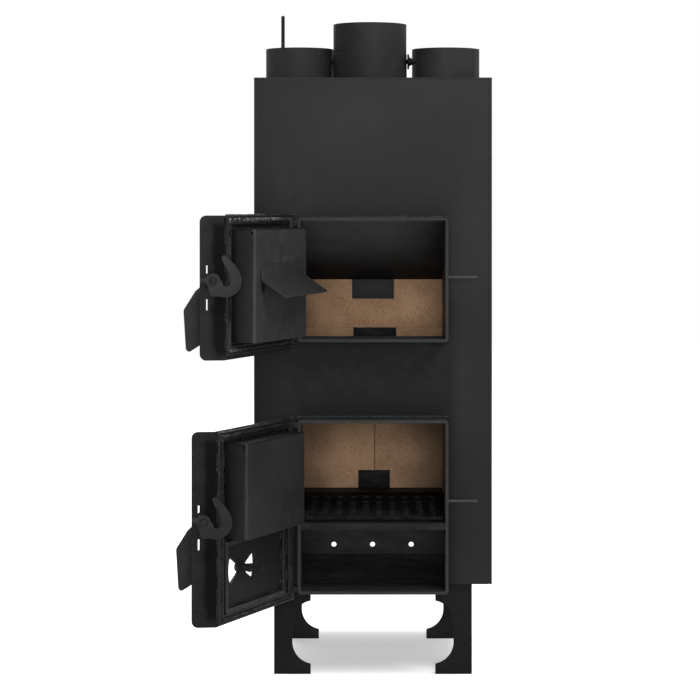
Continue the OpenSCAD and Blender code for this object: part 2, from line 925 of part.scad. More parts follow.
module lower_latch_grip() {
  color("#484848") swung(lower_open) latch_grip(lower_latch_z);
}

// Bolt of the rosette with its outer head, its spring and its inner nut
module rosette_bolt() {
  bolt_in = 37.5;
  head_h = 4;
  spring_l = 11;
  spring_r = 6.3;
  coils = 4;
  coil_t = 2;
  coil_pitch = spring_l / coils;
  nut_h = 5.5;
  nut_r = 7.5;
  head_y = -door_t / 2 - disc_t - 2 * seal_gap - head_h;
  color("#6a6a6a") swung(lower_open) translate([rosette_x, 0, rosette_z]) {
    translate([0, head_y, 0]) backwards(bolt_in + door_t / 2 - head_y, bolt_r);
    translate([0, head_y, 0]) backwards(head_h, nut_r);
    for (i = [0 : coils - 1]) {
      translate([0, door_t / 2 + i * coil_pitch, 0]) backwards(coil_t, spring_r);
    }
    translate([0, door_t / 2 + spring_l, 0]) rotate([-90, 0, 0]) cylinder(h = nut_h, r = nut_r, $fn = 6);
  }
}

module rosette_disc() {
  disc_y = -door_t / 2 - seal_gap - disc_t;
  tab_w = 10;
  tab_out = 12;
  color("#424242") swung(lower_open) translate([rosette_x, disc_y, rosette_z])
    rotate([0, rosette_turn, 0]) {
      difference() {
        backwards(disc_t, rosette_d / 2);
        translate([0, disc_t / 2, 0]) rosette_cuts(2 * disc_t);
        translate([0, -cut, 0]) backwards(disc_t + 2 * cut, bolt_r + running_gap);
      }
      translate([-tab_w / 2, -tab_out, rosette_d / 2 - 4]) cube([tab_w, tab_out, disc_t]);
    }
}

jacket_wrap();
front_panel();
top_plate();
inner_shell();
upper_throat();
lower_throat();
ash_shelf();
grate();
baffle();
left_side_board();
right_side_board();
left_rear_board();
right_rear_board();
top_rear_board();
baffle_clip();
board_clip();
rear_foot_plate();
flue_collar();
left_air_collar();
right_air_collar();
rod_guide();
front_left_leg();
front_right_leg();
rear_left_leg();
rear_right_leg();
front_rail();
rear_rail();
catch_pins();
hinge_lugs();
hinge_pins();
damper_disc();
damper_spindle();
damper_lever();
damper_nut();
valve_rod();
valve_plate();
upper_door_sheet();
upper_gasket_frame();
upper_gasket_rope();
upper_shield_box();
upper_deflector();
upper_door_knuckles();
upper_latch_bush();
upper_latch_shaft();
upper_latch_hook();
upper_latch_grip();
lower_door_sheet();
lower_gasket_frame();
lower_gasket_rope();
lower_shield_box();
lower_window_frame();
lower_door_knuckles();
lower_latch_bush();
lower_latch_shaft();
lower_latch_hook();
lower_latch_grip();
rosette_bolt();
rosette_disc();
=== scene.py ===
import bpy
import bmesh
import json
import math
import random
from mathutils import Matrix, Vector


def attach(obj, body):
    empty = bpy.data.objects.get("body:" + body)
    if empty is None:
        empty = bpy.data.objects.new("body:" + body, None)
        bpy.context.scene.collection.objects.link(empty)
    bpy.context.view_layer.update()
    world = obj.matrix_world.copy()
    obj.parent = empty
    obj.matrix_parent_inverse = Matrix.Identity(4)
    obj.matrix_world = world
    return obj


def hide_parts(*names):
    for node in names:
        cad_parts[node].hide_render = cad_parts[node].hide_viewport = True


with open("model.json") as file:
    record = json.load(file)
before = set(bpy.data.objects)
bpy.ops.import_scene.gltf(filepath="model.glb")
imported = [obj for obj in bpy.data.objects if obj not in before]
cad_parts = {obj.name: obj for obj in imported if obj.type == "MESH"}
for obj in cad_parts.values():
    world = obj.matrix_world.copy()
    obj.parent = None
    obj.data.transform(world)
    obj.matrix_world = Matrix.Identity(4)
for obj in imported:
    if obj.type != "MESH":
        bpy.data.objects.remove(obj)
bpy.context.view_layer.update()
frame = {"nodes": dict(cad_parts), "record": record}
nodes = frame["nodes"]
scene = bpy.context.scene
rng = random.Random(7)

# ---------------------------------------------------------------- places and sizes
# Metres in the frame's own axes: x to the right, y to the rear, z up. OX, OY is the middle of the front panel.
OX, OY = 0.053, -0.0678
HINGE = Vector((OX - 0.136, OY - 0.0643, 0))
OPEN = {"fire": math.radians(111), "ash": math.radians(114)}
LIP_BEND = 0.2675                  # from the hinge to the bend of a door's lip
LIP_ANGLE = math.radians(60)
LIP_SHADE_Z = {"fire": (0.553, 0.772), "ash": (0.141, 0.436)}     # lower and upper end of the painted shade on the lips
SHEET_FACE = 2                     # mm, from the hinge's plane to the inner face of a door sheet
BOX_FACE = 0.041                   # from the door sheet to the face of a shield box
BOX_SIDE = 0.242                   # from the hinge to the free side of a shield box
BOX_TOP = {"fire": 0.7525, "ash": 0.4202}                    # just under the upper faces of the shield boxes
BOX_SHADOW_SPOT, SHADOW_SPOT_SIZE = (0.2115, 0.6625), (0.0125, 0.0145)     # painted shadow on the fire box under the deflector's end: from the hinge, height
DUST_Z = {"fire": (0.7605, 0.5685), "ash": (0.4245, 0.1505)}  # where dust starts on the ropes' upper and lower runs
FLOOR_Z, WALL_Y, SHELF_Z = 0.150, 0.3565, 0.250              # floor, rear wall and ceiling of the ash chamber
FIRE_Z = 0.315                     # middle of the bed on the grate
THROAT_FRONT = -0.055              # front edge of the throats and of the shelf
FLUE_EDGE = 0.066                  # just outside the flue collar, from its middle

# Millimetres, along x and z on a door from its hinge, or from the middle of the front panel
DOOR_MID = 136
THROAT_W = 250
THROAT_BEAD = 126                  # from the middle to the beads beside the throats
ROPE_W, ROPE_OUT = 8, 3            # width of the rope, and how much wider than the throat its loop is
ROPE_CORNER, ROPE_Y = 5, 5.4       # radius of its corners, and its middle from the hinge's plane
BAR_X = (6.5, 265.5)               # outer edges of the gasket bars
BAR_Z = {"fire": (558.5, 774.5), "ash": (140.5, 438.5)}
BAR_INNER = 14.3                   # from the outer edge of the bars to their inner edge
BOX_FOOT = {"fire": (37.6, 242.4, 576.6, 753.4), "ash": (37.6, 242.4, 271.6, 420.9)}
WINDOW_OUTER = (34.6, 246.4, 154.6, 268.4)
WINDOW_INNER = (43.4, 237.6, 163.4, 259.6)
FLUE, LEFT_COLLAR, RIGHT_COLLAR = (-5, 190), (-130, 229), (130, 229)
COLLAR_FOOT = 1005.4
ROD, ROD_R = (-163, 312), 3.15
THREAD_Z, THREAD_TURNS, THREAD_PITCH, THREAD_STEPS = 1068, 9, 1.25, 18


def P(x, y, z):
    """Point given from the middle of the front panel, in mm."""
    return Vector((OX + x / 1000, OY + y / 1000, z / 1000))


def door_matrix(door):
    """From the axes of an open door, x along it from the hinge and y towards its inner side, to the frame's."""
    return Matrix.Translation(HINGE) @ Matrix.Rotation(-OPEN[door], 4, "Z")


def lip_matrix(door):
    """From the axes of a door's bent lip to the frame's."""
    return door_matrix(door) @ Matrix.Translation((LIP_BEND, 0, 0)) @ Matrix.Rotation(-LIP_ANGLE, 4, "Z")


def D(door, x, y, z):
    """Point given along an open door from its hinge, in mm."""
    return door_matrix(door) @ Vector((x / 1000, y / 1000, z / 1000))


def axis(matrix, v):
    """Direction v of a door or lip, in the frame's axes."""
    return (matrix.to_3x3() @ Vector(v)).normalized()


def on(door):
    """Placing function of a door, for weld."""
    return lambda x, y, z: D(door, x, y, z)


# ---------------------------------------------------------------- node helpers
class Tree:
    """A material with a Principled shader, and short calls for the nodes that feed it."""

    def __init__(self, name):
        self.mat = bpy.data.materials.new(name)
        self.mat.use_nodes = True
        self.t = self.mat.node_tree
        self.t.nodes.clear()
        self.out = self.node("OutputMaterial")
        self.bsdf = self.node("BsdfPrincipled")
        self.link(self.bsdf.outputs[0], self.out.inputs[0])
        self.co = self.node("TexCoord").outputs["Object"]

    def node(self, kind):
        return self.t.nodes.new("ShaderNode" + kind)

    def link(self, a, b):
        self.t.links.new(a, b)

    def put(self, sock, v):
        if isinstance(v, bpy.types.NodeSocket):
            self.link(v, sock)
        else:
            sock.default_value = v

    def set(self, **values):
        """Values or sockets for the shader's inputs; Base_Color stands for Base Color."""
        for name, v in values.items():
            if isinstance(v, tuple) and len(v) == 3:
                v = (*v, 1)
            self.put(self.bsdf.inputs[name.replace("_", " ")], v)

    def noise(self, scale, detail, rough=0.55, co=None):
        """Cloudy noise from 0 to 1, scale per metre."""
        n = self.node("TexNoise")
        n.inputs["Scale"].default_value = scale
        n.inputs["Detail"].default_value = detail
        n.inputs["Roughness"].default_value = rough
        self.link(co or self.co, n.inputs["Vector"])
        return n.outputs["Fac"]

    def voronoi(self, scale, out="Distance"):
        n = self.node("TexVoronoi")
        n.inputs["Scale"].default_value = scale
        self.link(self.co, n.inputs["Vector"])
        return n.outputs[out]

    def mapping(self, scale):
        n = self.node("Mapping")
        n.inputs["Scale"].default_value = scale
        self.link(self.co, n.inputs["Vector"])
        return n.outputs[0]

    def math(self, op, a, b=0.0, c=0.0):
        n = self.node("Math")
        n.operation = op
        for sock, v in zip(n.inputs, (a, b, c)):
            self.put(sock, v)
        return n.outputs[0]

    def add(self, a, b):
        return self.math("ADD", a, b)

    def sub(self, a, b):
        return self.math("SUBTRACT", a, b)

    def mul(self, a, b):
        return self.math("MULTIPLY", a, b)

    def max(self, a, b):
        return self.math("MAXIMUM", a, b)

    def abs(self, a):
        return self.math("ABSOLUTE", a)

    def hypot(self, a, b):
        return self.math("SQRT", self.add(self.mul(a, a), self.mul(b, b)))

    def wobble(self, amount, scale, detail, rough=0.55):
        """Noise round zero."""
        return self.mul(self.sub(self.noise(scale, detail, rough), 0.5), amount)

    def dot(self, v, origin=(0, 0, 0)):
        """Distance along direction v from a point."""
        s = self.node("VectorMath")
        s.operation = "SUBTRACT"
        self.link(self.co, s.inputs[0])
        s.inputs[1].default_value = origin
        n = self.node("VectorMath")
        n.operation = "DOT_PRODUCT"
        self.link(s.outputs[0], n.inputs[0])
        n.inputs[1].default_value = v
        return n.outputs["Value"]

    def x(self, start=0.0):
        """Distance to the right of the middle of the stove, or of start."""
        return self.dot((1, 0, 0), (OX + start, 0, 0))

    def y(self, start=0.0):
        """Distance behind the front panel, or behind start."""
        return self.dot((0, 1, 0), (0, OY + start, 0))

    def z(self):
        return self.dot((0, 0, 1))

    def ramp(self, fac, lo, hi, a=0.0, b=1.0, smooth=True):
        """a where fac is lo, b where it is hi, and held beyond; lo may be over hi."""
        n = self.node("MapRange")
        n.interpolation_type = "SMOOTHSTEP" if smooth else "LINEAR"
        n.clamp = True
        self.put(n.inputs["Value"], fac)
        for k, v in zip(("From Min", "From Max", "To Min", "To Max"), (lo, hi, a, b)):
            n.inputs[k].default_value = v
        return n.outputs[0]

    def mix(self, fac, a, b):
        n = self.node("Mix")
        n.data_type = "RGBA"
        self.put(n.inputs[0], fac)
        for sock, v in ((n.inputs[6], a), (n.inputs[7], b)):
            self.put(sock, (*v, 1) if isinstance(v, tuple) and len(v) == 3 else v)
        return n.outputs[2]

    def edge(self, radius=0.0015):
        """Rounded normal and a mask that is 1 on sharp outer and inner edges."""
        bevel = self.node("Bevel")
        bevel.samples = 4
        bevel.inputs["Radius"].default_value = radius
        flat = self.node("NewGeometry")
        d = self.node("VectorMath")
        d.operation = "DOT_PRODUCT"
        self.link(bevel.outputs[0], d.inputs[0])
        self.link(flat.outputs["True Normal"], d.inputs[1])
        return bevel.outputs[0], self.ramp(d.outputs["Value"], 0.995, 0.75)

    def bump(self, height, dist, strength, normal=None):
        """Normal bumped by a height from 0 to 1, dist metres high."""
        n = self.node("Bump")
        n.inputs["Strength"].default_value = strength
        n.inputs["Distance"].default_value = dist
        self.link(height, n.inputs["Height"])
        if normal is not None:
            self.link(normal, n.inputs["Normal"])
        return n.outputs[0]


def grey(v):
    """Very slightly warm grey."""
    return (v, v * 0.99, v * 0.985)


def times(color, k):
    return tuple(v * k for v in color)


# ---------------------------------------------------------------- materials
def paint(name, base, edge, rough, dirt=0.35, dark=None, spec=0.13, highlight=None):
    """Matt stove paint over steel: mottled colour, fine orange peel, and lighter edges that are partly worn paint
    and partly painted highlight.

    The masks give painted shade, with darker and more matt paint, and a painted highlight along a rounded corner.
    """
    t = Tree(name)
    big = t.noise(5, 3)
    mid = t.noise(42, 5, 0.6)
    tiny = t.noise(900, 2, 0.5)
    col = t.mix(t.ramp(big, 0.35, 0.68), grey(base * (1 - dirt * 0.5)), grey(base * (1 + dirt * 0.5)))
    col = t.mix(t.ramp(mid, 0.4, 0.75, 0, 0.5), col, grey(base * (1 + 1.3 * dirt)))
    normal, mask = t.edge()
    # lighter edges: partly worn paint, partly painted highlight
    wear_and_highlight = t.mul(mask, t.ramp(t.noise(70, 4), 0.3, 0.6, 0.35, 1.0))
    col = t.mix(wear_and_highlight, col, grey(edge))
    roughness = t.ramp(mid, 0.3, 0.7, rough - 0.06, rough + 0.09)
    # painted shade: darker, more matt paint where the mask says
    if dark is not None:
        shade = dark(t)
        col = t.mix(shade, col, grey(base * 0.06))
        roughness = t.max(roughness, t.mul(shade, 0.97))
    # painted highlight along a corner
    if highlight is not None:
        col = t.mix(highlight(t), col, grey(edge * 0.6))
    h = t.add(t.mul(tiny, 0.35), t.mul(mid, 0.8))
    t.set(Base_Color=col, Roughness=roughness, Specular_IOR_Level=spec, Normal=t.bump(h, 0.00035, 0.5, normal))
    return t.mat


def scaled_steel(name, base, rough, sooty, warm=0.0, tone=None, streaks=0.5, dust=None, spec=0.14,
                 grain=(1, 1, 6)):
    """Heat-darkened mild steel with streaks and soot; tone is a mask for painted shade, and dust one for ash."""
    t = Tree(name)
    streak = t.noise(30, 6, 0.65, t.mapping(grain))
    cloud = t.noise(9, 5, 0.6)
    bare = (base * (1 + warm), base * (1 + warm * 0.4), base)
    soot = (base * 0.35, base * 0.33, base * 0.32)
    col = t.mix(t.ramp(streak, 0.35, 0.7), bare, times(bare, 1 + streaks))
    col = t.mix(t.ramp(cloud, 0.35, 0.7, 0, sooty), col, soot)
    normal, mask = t.edge(0.001)
    # lighter edges: partly worn steel, partly painted highlight
    col = t.mix(t.mul(mask, 0.6), col, times(bare, 2.4))
    # painted shade where the tone mask says
    if tone is not None:
        col = t.mix(tone(t), col, times(bare, 0.1))
    if dust is not None:
        patch = t.ramp(t.noise(26, 6, 0.7, t.mapping((1, 1, 2.5))), 0.32, 0.68, 0.25, 1.0)
        col = t.mix(t.mul(dust(t), patch), col, (0.120, 0.118, 0.116))
    t.set(Base_Color=col, Specular_IOR_Level=spec, Roughness=t.ramp(streak, 0.3, 0.7, rough - 0.08, rough + 0.12),
          Normal=t.bump(t.noise(260, 4), 0.0004, 0.5, normal))
    return t.mat


def vermiculite(name, tone, soot=None):
    """Pressed vermiculite board: tan with fine light and dark flakes."""
    t = Tree(name)
    flakes = t.node("SeparateColor")
    t.link(t.voronoi(640, "Color"), flakes.inputs[0])
    grain = t.noise(700, 3, 0.7)
    tan, pale = times((0.240, 0.140, 0.079), tone), times((0.345, 0.215, 0.128), tone)
    dark, light = times((0.115, 0.064, 0.036), tone), times((0.50, 0.36, 0.23), tone)
    col = t.mix(t.ramp(t.noise(14, 4), 0.3, 0.7), tan, pale)
    col = t.mix(t.ramp(grain, 0.45, 0.72, 0, 0.7), col, pale)
    col = t.mix(t.ramp(flakes.outputs[0], 0.78, 0.9, 0, 0.42), col, dark)
    col = t.mix(t.ramp(flakes.outputs[1], 0.86, 0.95, 0, 0.30), col, light)
    # darker brown where the board's mask says
    if soot is not None:
        col = t.mix(soot(t), col, (0.030, 0.024, 0.021))
    h = t.add(t.mul(grain, 0.6), t.mul(flakes.outputs[0], 0.4))
    normal, _ = t.edge(0.0012)
    t.set(Base_Color=col, Roughness=0.92, Specular_IOR_Level=0.2, Normal=t.bump(h, 0.0005, 0.7, normal))
    return t.mat


def cast_iron(name):
    """Rough sooty casting with pits."""
    t = Tree(name)
    rough = t.noise(60, 6, 0.7)
    col = t.mix(t.ramp(rough, 0.35, 0.7), (0.0060, 0.0060, 0.0060), (0.0200, 0.0197, 0.0194))
    normal, mask = t.edge(0.002)
    # lighter edges: partly worn iron, partly painted highlight
    col = t.mix(t.mul(mask, 0.7), col, (0.028, 0.0277, 0.0274))
    h = t.add(t.mul(t.voronoi(330), 0.6), rough)
    t.set(Base_Color=col, Specular_IOR_Level=0.04, Roughness=0.95, Normal=t.bump(h, 0.001, 0.6, normal))
    return t.mat


def worn_metal(name, base, rough, metal):
    """Thinly painted round steel of the pins."""
    t = Tree(name)
    coarse = t.noise(55, 5, 0.6)
    fine = t.noise(420, 3, 0.6)
    col = t.mix(t.ramp(coarse, 0.35, 0.7), grey(base * 0.75), grey(base * 1.2))
    normal, mask = t.edge(0.0008)
    # lighter edges: partly worn paint, partly painted highlight
    col = t.mix(t.mul(mask, 0.55), col, grey(base * 1.7))
    t.set(Base_Color=col, Metallic=metal, Roughness=t.ramp(coarse, 0.3, 0.7, rough - 0.08, rough + 0.1),
          Normal=t.bump(t.add(fine, coarse), 0.0003, 0.5, normal))
    return t.mat


def rough_weld(name, base, light, metal):
    """Weld metal, spatter and cement smears: light lumps over dark steel."""
    t = Tree(name)
    lumps = t.noise(190, 5, 0.65)
    blots = t.noise(38, 4, 0.6)
    bright = t.mul(t.ramp(lumps, 0.45, 0.66), t.ramp(blots, 0.38, 0.6, 0.25, 1.0))
    normal, _ = t.edge(0.001)
    t.set(Base_Color=t.mix(bright, grey(base * 0.5), grey(light)), Metallic=metal, Specular_IOR_Level=0.2,
          Roughness=t.ramp(lumps, 0.35, 0.7, 0.62, 0.42), Normal=t.bump(lumps, 0.0012, 0.8, normal))
    return t.mat


def rope_mat(name, base, light, dust):
    """Sooty glass rope with grains of light dust where the mask says."""
    t = Tree(name)
    fibre = t.noise(800, 3, 0.6)
    blots = t.noise(45, 4, 0.6)
    col = t.mix(t.ramp(fibre, 0.35, 0.7), grey(base * 0.55), grey(base * 1.3))
    faint = t.mul(t.ramp(blots, 0.42, 0.62, 0.0, 0.8), 0.18)
    grains = t.ramp(t.noise(170, 4, 0.7), 0.47, 0.57, 0.05, 1.0)
    bright = t.mul(grains, t.ramp(blots, 0.30, 0.55, 0.45, 1.0))
    col = t.mix(t.max(faint, t.mul(dust(t), bright)), col, grey(light))
    t.set(Base_Color=col, Roughness=0.9, Specular_IOR_Level=0.1, Normal=t.bump(t.add(fibre, blots), 0.0005, 0.5))
    return t.mat


# ---------------------------------------------------------------- masks: where soot, dust and wear lie
def lip_shade(door):
    """Painted shade on the inner face of the lip: a dark strip from the bend to its middle, with a soft edge."""
    lip = lip_matrix(door)
    o = lip @ Vector((0, 0, 0))
    u, n = axis(lip, (1, 0, 0)), axis(lip, (0, 1, 0))
    lowest, highest = LIP_SHADE_Z[door]

    def mask(t):
        along = t.add(t.dot(u, o), t.wobble(0.020, 24, 5, 0.65))
        strip = t.add(t.ramp(along, 0.0270, 0.0100, 0, 0.66), t.ramp(along, 0.040, 0.016, 0, 0.26))
        inner_face = t.ramp(t.dot(n, o), 0.0012, 0.0019)
        z = t.add(t.z(), t.wobble(0.014, 31, 3))
        ends = t.mul(t.ramp(z, lowest - 0.008, lowest + 0.016), t.ramp(z, highest + 0.006, highest - 0.018))
        return t.mul(strip, t.mul(inner_face, t.math("MULTIPLY_ADD", ends, 0.8, 0.2)))

    return mask


def box_shade(door):
    """Painted shade on a shield box: its side, darkest where it meets the door, its top, and on the fire box a
    painted shadow under the deflector's end.
    """
    o = D(door, 0, SHEET_FACE, 0)
    u, n = axis(door_matrix(door), (1, 0, 0)), axis(door_matrix(door), (0, 1, 0))

    def mask(t):
        side = t.ramp(t.dot(u, o), BOX_SIDE - 0.0012, BOX_SIDE - 0.0002)
        depth = t.add(t.dot(n, o), t.wobble(0.01, 30, 3))
        near = t.add(t.ramp(depth, BOX_FACE, 0.002, 0.56, 0.70, False), t.ramp(depth, 0.015, 0.003, 0.0, 0.24))
        top = t.ramp(t.z(), BOX_TOP[door] - 0.0014, BOX_TOP[door] - 0.0002, 0.0, 0.92)
        dark = t.max(t.mul(side, near), top)
        if door == "ash":
            return dark
        along = t.mul(t.sub(t.dot(u, o), BOX_SHADOW_SPOT[0]), 1 / SHADOW_SPOT_SIZE[0])
        up = t.mul(t.sub(t.z(), BOX_SHADOW_SPOT[1]), 1 / SHADOW_SPOT_SIZE[1])
        # painted shadow under the left end of the deflector
        return t.max(dark, t.ramp(t.hypot(along, up), 1.0, 0.35, 0.0, 0.9))

    return mask


def corner_highlight(door):
    """Painted highlight along the rounded upright corner of a shield box."""
    o = D(door, BOX_SIDE * 1000, SHEET_FACE, 0)
    u, n = axis(door_matrix(door), (1, 0, 0)), axis(door_matrix(door), (0, 1, 0))

    def mask(t):
        far = t.max(t.abs(t.add(t.dot(u, o), 0.0004)), t.abs(t.sub(t.dot(n, o), BOX_FACE - 0.0014)))
        patchy = t.ramp(t.noise(60, 4, 0.6, t.mapping((1, 1, 0.35))), 0.30, 0.62, 0.35, 1.0)
        return t.mul(t.ramp(far, 0.0036, 0.0016, 0.0, 0.9), patchy)

    return mask


def dusty(door):
    """Where the rope has kept light dust: its upper run and a part of the lower one."""
    o = D(door, 0, 0, 0)
    u = axis(door_matrix(door), (1, 0, 0))
    upper, lower = DUST_Z[door]
    upper_x, lower_x, lower_most = {
        "fire": ((0.03, 0.09, 0.0, 1.0), (0.17, 0.23), 0.6),
        "ash": ((0.16, 0.245, 0.12, 0.9), (0.03, 0.1), 0.75),
    }[door]

    def mask(t):
        z, x = t.z(), t.dot(u, o)
        high = t.mul(t.ramp(z, upper, upper + 0.004), t.ramp(x, *upper_x))
        low = t.mul(t.ramp(z, lower, lower - 0.003, 0, lower_most), t.ramp(x, *lower_x))
        return t.max(high, low)

    return mask


def front_shade(t):
    """Painted shade on the jacket, with darker and more matt paint: below the upper throat between the doors, and
    along the hinge side beside the open doors.
    """
    z, x = t.z(), t.x()
    amount = t.math("MINIMUM", t.ramp(x, 0.12, 0.15, 0.56, 0.22), t.ramp(x, -0.12, -0.15, 0.56, 0.46))
    low = t.mul(t.ramp(z, 0.76, 0.55), amount)
    left = t.mul(t.ramp(x, -0.11, -0.15), t.ramp(z, 0.88, 0.74, 0.0, 0.40))
    return t.max(low, left)


def pipe_shade(t):
    """Darker left half of the flue collar, fading towards the rear."""
    x = t.x(FLUE[0] / 1000)
    front = t.ramp(t.y(0.2), -0.08, 0.0, 1.0, 0.3)
    on_flue = t.ramp(t.abs(x), FLUE_EDGE, FLUE_EDGE + 0.001, 1.0, 0.0)
    return t.mul(on_flue, t.mul(front, t.ramp(x, 0.02, -0.055, 0.06, 0.42)))


def baffle_shade(t):
    """Baffle: painted shade that grows towards its low rear edge and the right side."""
    y, x = t.y(), t.x()
    cloud = t.wobble(0.05, 12, 4)
    back = t.ramp(t.add(y, cloud), 0.20, 0.40, 0.0, 0.85)
    return t.max(back, t.ramp(t.add(x, cloud), 0.03, 0.14, 0.0, 0.75))


def ash_dust(t):
    """Fine ash on the rear wall and the floor of the ash chamber, thinner towards the front."""
    z, y = t.z(), t.y()
    inside = t.mul(t.ramp(z, SHELF_Z + 0.006, SHELF_Z), t.ramp(y, WALL_Y + 0.0015, WALL_Y))
    floor_part = t.mul(t.ramp(z, FLOOR_Z + 0.001, FLOOR_Z), t.ramp(y, 0.14, 0.35, 0.30, 1.0))
    floor_part = t.mul(floor_part, t.ramp(y, WALL_Y - 0.004, 0.346))
    wall_part = t.mul(t.ramp(z, FLOOR_Z, FLOOR_Z + 0.001), t.ramp(z, FLOOR_Z, 0.195, 0.10, 0.33))
    return t.mul(inside, t.add(floor_part, wall_part))


def bed_shade(t):
    """Shelf: painted shade, near black, behind its front edge."""
    return t.ramp(t.y(), THROAT_FRONT + 0.002, THROAT_FRONT + 0.025, 0.0, 0.80)


def low_board_darkening(t):
    """Lower boards: darker brown away from the middle of the bed, and towards the right."""
    x, z = t.x(), t.z()
    ring = t.ramp(t.hypot(x, t.sub(z, FIRE_Z)), 0.035, 0.15, 0.24, 0.60)
    right = t.ramp(x, 0.0, 0.10, 0.0, 0.13)
    return t.mul(t.ramp(z, 0.52, 0.44), t.add(ring, right))


def top_board_darkening(t):
    """Upper rear board: a little darker under the baffle and at its sides."""
    return t.max(t.ramp(t.z(), 0.60, 0.65, 0.0, 0.20), t.ramp(t.abs(t.x()), 0.09, 0.15, 0.0, 0.36))


# ---------------------------------------------------------------- materials of the CAD nodes
M = {
    "body": paint("jacket_paint", 0.0195, 0.032, 0.62, dirt=0.25, dark=front_shade, spec=0.075),
    "top": paint("collar_paint", 0.0230, 0.030, 0.60, dark=pipe_shade, spec=0.09),
    "throat": paint("throat_paint", 0.0165, 0.065, 0.54),
    "leg": paint("leg_paint", 0.0066, 0.017, 0.62, spec=0.06),
    # lighter copy of the leg paint: painted light on the rear legs and rail, which the front ones shade
    "rear_leg": paint("rear_leg_paint", 0.0150, 0.030, 0.62, spec=0.08),
    "fire_sheet": paint("fire_door_paint", 0.0084, 0.038, 0.60, dirt=0.2, dark=lip_shade("fire"), spec=0.10),
    # darker copy of the fire door's paint: painted shade on the lower door
    "ash_sheet": paint("ash_door_paint", 0.0064, 0.026, 0.60, dirt=0.1, dark=lip_shade("ash"), spec=0.09),
    "box": paint("fire_box_paint", 0.0240, 0.085, 0.58, dark=box_shade("fire"), highlight=corner_highlight("fire"),
                 spec=0.09),
    # darker copy of the fire box's paint: painted shade on the lower door
    "ash_box": paint("ash_box_paint", 0.0132, 0.060, 0.60, dark=box_shade("ash"), highlight=corner_highlight("ash"),
                     spec=0.09),
    "small": paint("fitting_paint", 0.019, 0.06, 0.55),
    "deflector": paint("deflector_paint", 0.0150, 0.05, 0.55),
    "shell": scaled_steel("shell_steel", 0.010, 0.62, 0.45, dust=ash_dust),
    "shelf": scaled_steel("shelf_steel", 0.0155, 0.8, 0.35, warm=-0.06, spec=0.03, tone=bed_shade),
    "baffle": scaled_steel("baffle_steel", 0.092, 0.8, 0.3, warm=-0.06, tone=baffle_shade, streaks=0.12,
                           spec=0.04, grain=(1.3, 1.3, 1.3)),
    "clip": scaled_steel("clip_steel", 0.020, 0.6, 0.15),
    "clip_dark": scaled_steel("dark_clip_steel", 0.006, 0.6, 0.2),
    "black_plate": scaled_steel("foot_plate_steel", 0.0016, 0.6, 0.2),
    "grate": cast_iron("grate_iron"),
    "board": vermiculite("lining_board", 1.56, top_board_darkening),
    "low_board": vermiculite("lower_lining_board", 1.56, low_board_darkening),
    # darker copy of the lining board: painted shade on the side walls of the throats
    "side_board": vermiculite("shaded_side_lining_board", 0.9),
    "rod": paint("rod_paint", 0.0170, 0.030, 0.85, spec=0.04),
    "knuckle": paint("hinge_paint", 0.0090, 0.050, 0.62, dirt=0.8, spec=0.09),
    "hook": paint("fire_hook_paint", 0.0140, 0.042, 0.6),
    # darker copy of the fire hook's paint: painted shade on the lower door
    "ash_hook": paint("ash_hook_paint", 0.0075, 0.028, 0.6),
    "grip": paint("fire_grip_paint", 0.0125, 0.035, 0.6),
    # darker copy of the fire grip's paint: painted shade on the lower door
    "ash_grip": paint("ash_grip_paint", 0.0085, 0.028, 0.6),
    "shaft": paint("shaft_paint", 0.0065, 0.026, 0.6),
    "pin": worn_metal("pin_steel", 0.0125, 0.70, 0.1),
    "nut": paint("damper_paint", 0.0045, 0.016, 0.7, spec=0.08),
    "weld": rough_weld("weld_metal", 0.015, 0.038, 0.05),
    "bright_weld": rough_weld("fresh_weld_metal", 0.040, 0.15, 0.1),
    "frame": rough_weld("gasket_bar_steel", 0.0060, 0.017, 0.05),
    "rope": rope_mat("fire_gasket_rope", 0.0065, 0.19, dusty("fire")),
    "ash_rope": rope_mat("ash_gasket_rope", 0.0065, 0.075, dusty("ash")),
}
ASSIGN = {
    "body": "jacket_wrap front_panel top_plate",
    "top": "flue_collar left_air_collar right_air_collar rod_guide",
    "throat": "upper_throat lower_throat",
    "leg": "front_left_leg front_right_leg front_rail",
    "rear_leg": "rear_left_leg rear_right_leg rear_rail",
    "shell": "inner_shell damper_disc valve_plate",
    "shelf": "ash_shelf",
    "baffle": "baffle",
    "clip": "baffle_clip",
    "clip_dark": "board_clip",
    "black_plate": "rear_foot_plate",
    "grate": "grate",
    "board": "top_rear_board",
    "low_board": "left_rear_board right_rear_board",
    "side_board": "left_side_board right_side_board",
    "pin": "catch_pins hinge_pins",
    "rod": "valve_rod",
    "knuckle": "hinge_lugs upper_door_knuckles lower_door_knuckles",
    "nut": "damper_spindle damper_lever damper_nut",
    "small": "upper_latch_bush lower_latch_bush rosette_disc",
    "deflector": "upper_deflector",
    "fire_sheet": "upper_door_sheet",
    "ash_sheet": "lower_door_sheet",
    "box": "upper_shield_box",
    "ash_box": "lower_shield_box",
    "frame": "upper_gasket_frame lower_gasket_frame lower_window_frame",
    "rope": "upper_gasket_rope",
    "ash_rope": "lower_gasket_rope",
    "hook": "upper_latch_hook",
    "ash_hook": "lower_latch_hook",
    "shaft": "upper_latch_shaft lower_latch_shaft rosette_bolt",
    "grip": "upper_latch_grip",
    "ash_grip": "lower_latch_grip",
}
for key, names in ASSIGN.items():
    for n in names.split():
        me = nodes[n].data
        me.materials.clear()
        me.materials.append(M[key])


